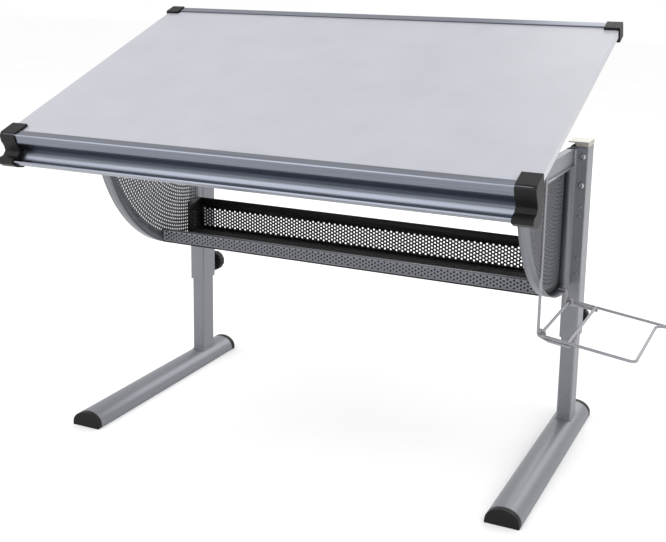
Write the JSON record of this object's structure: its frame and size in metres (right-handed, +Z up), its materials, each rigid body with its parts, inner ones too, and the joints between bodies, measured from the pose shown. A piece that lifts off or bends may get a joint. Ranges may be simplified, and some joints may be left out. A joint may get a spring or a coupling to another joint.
{
  "type": "drafting table",
  "caption": "Drafting table with a tilting board, pencil rail, telescoping posts on two feet, arc-shaped side panels, a tray between them and a fold-up wire side rack.",
  "frame": {"origin": "centre of the bounding box on the floor, under the feet", "axes": "+X across the table towards the wire rack, +Y from the user's side to the rear, +Z up"},
  "size_m": [1.2482, 0.7494, 0.9106],
  "materials": {
    "laminate": "pale grey plastic laminate, satin",
    "painted_steel": "silver-grey metallic powder coat, satin",
    "rail_aluminium": "satin anodised extrusion",
    "tray_paint": "black powder coat, fine texture",
    "black_plastic": "black moulded plastic, fine grain",
    "zinc_steel": "bright zinc plate",
    "nylon": "natural nylon, satin"
  },
  "bodies": {
    "left_base": {"left_foot": "painted_steel", "left_foot_front_cap": "black_plastic", "left_foot_rear_cap": "black_plastic", "left_lower_post": "painted_steel"},
    "right_base": {"right_foot": "painted_steel", "right_foot_front_cap": "black_plastic", "right_foot_rear_cap": "black_plastic", "right_lower_post": "painted_steel"},
    "frame": {"left_upper_post": "painted_steel", "left_guide_bush": "nylon", "left_side_panel": "painted_steel", "left_mount_plate": "painted_steel", "left_side_upright": "painted_steel", "left_mount_bolt_1": "zinc_steel", "left_mount_bolt_2": "zinc_steel", "left_top_rail": "painted_steel", "left_rest_plate": "zinc_steel", "left_weld_nut": "zinc_steel", "left_tilt_spacer": "zinc_steel", "right_upper_post": "painted_steel", "right_guide_bush": "nylon", "right_side_panel": "painted_steel", "right_mount_plate": "painted_steel", "right_side_upright": "painted_steel", "right_mount_bolt_1": "zinc_steel", "right_mount_bolt_2": "zinc_steel", "right_top_rail": "painted_steel", "right_rest_plate": "zinc_steel", "right_weld_nut": "zinc_steel", "right_tilt_spacer": "zinc_steel", "tray": "tray_paint", "tray_fascia": "painted_steel", "rack_front_hanger": "zinc_steel", "rack_rear_hanger": "zinc_steel", "cord_hook": "zinc_steel"},
    "board": {"board_top": "laminate", "pencil_rail": "rail_aluminium", "rear_rail": "rail_aluminium", "left_front_corner_cap": "black_plastic", "left_rear_corner_cap": "black_plastic", "left_board_bearer": "painted_steel", "left_hinge_pin": "zinc_steel", "right_front_corner_cap": "black_plastic", "right_rear_corner_cap": "black_plastic", "right_board_bearer": "painted_steel", "right_hinge_pin": "zinc_steel"},
    "left_stay": {"left_tilt_stay": "zinc_steel", "left_stay_pin": "zinc_steel"},
    "left_height_clamp": {"left_height_knob": "black_plastic", "left_height_stud": "zinc_steel"},
    "left_tilt_clamp": {"left_tilt_knob": "black_plastic", "left_tilt_stud": "zinc_steel"},
    "right_stay": {"right_tilt_stay": "zinc_steel", "right_stay_pin": "zinc_steel"},
    "right_height_clamp": {"right_height_knob": "black_plastic", "right_height_stud": "zinc_steel"},
    "right_tilt_clamp": {"right_tilt_knob": "black_plastic", "right_tilt_stud": "zinc_steel"},
    "rack": {"wire_rack": "zinc_steel"}
  },
  "joints": [
    {"name": "height", "type": "slide", "parent": "left_base", "child": "frame", "axis": [0, 0, 1], "range_m": [-0.11, 0.15]},
    {"name": "right_leg_slide", "type": "slide", "parent": "frame", "child": "right_base", "axis": [0, 0, -1], "range_m": [-0.11, 0.15]},
    {"name": "board_tilt", "type": "hinge", "parent": "frame", "child": "board", "pos_m": [-0.07506, -0.3041, 0.6503], "axis": [1, 0, 0], "range_deg": [-20.5, 14.5]},
    {"name": "left_stay_swing", "type": "hinge", "parent": "board", "child": "left_stay", "pos_m": [-0.52606, -0.1074, 0.72384], "axis": [1, 0, 0], "range_deg": [-7.3, 10.3]},
    {"name": "right_stay_swing", "type": "hinge", "parent": "board", "child": "right_stay", "pos_m": [0.37594, -0.1074, 0.72384], "axis": [1, 0, 0], "range_deg": [-7.3, 10.3]},
    {"name": "left_height_knob_turn", "type": "hinge", "parent": "frame", "child": "left_height_clamp", "pos_m": [-0.55306, 0.3197, 0.251], "axis": [0, 1, 0], "range_deg": [0, 360]},
    {"name": "left_tilt_knob_turn", "type": "hinge", "parent": "frame", "child": "left_tilt_clamp", "pos_m": [-0.51506, -0.09506, 0.63017], "axis": [1, 0, 0], "range_deg": [0, 360]},
    {"name": "right_height_knob_turn", "type": "hinge", "parent": "frame", "child": "right_height_clamp", "pos_m": [0.40294, 0.3197, 0.251], "axis": [0, 1, 0], "range_deg": [0, 360]},
    {"name": "right_tilt_knob_turn", "type": "hinge", "parent": "frame", "child": "right_tilt_clamp", "pos_m": [0.36494, -0.09506, 0.63017], "axis": [-1, 0, 0], "range_deg": [0, 360]},
    {"name": "rack_fold", "type": "hinge", "parent": "frame", "child": "rack", "pos_m": [0.41344, 0.0747, 0.322], "axis": [0, -1, 0], "range_deg": [0, 95]}
  ],
  "couplings": [
    {"joint": "right_leg_slide", "follows": "height", "ratio": 1},
    {"joint": "left_stay_swing", "follows": "board_tilt", "ratio": -0.5},
    {"joint": "right_stay_swing", "follows": "board_tilt", "ratio": -0.5}
  ]
}
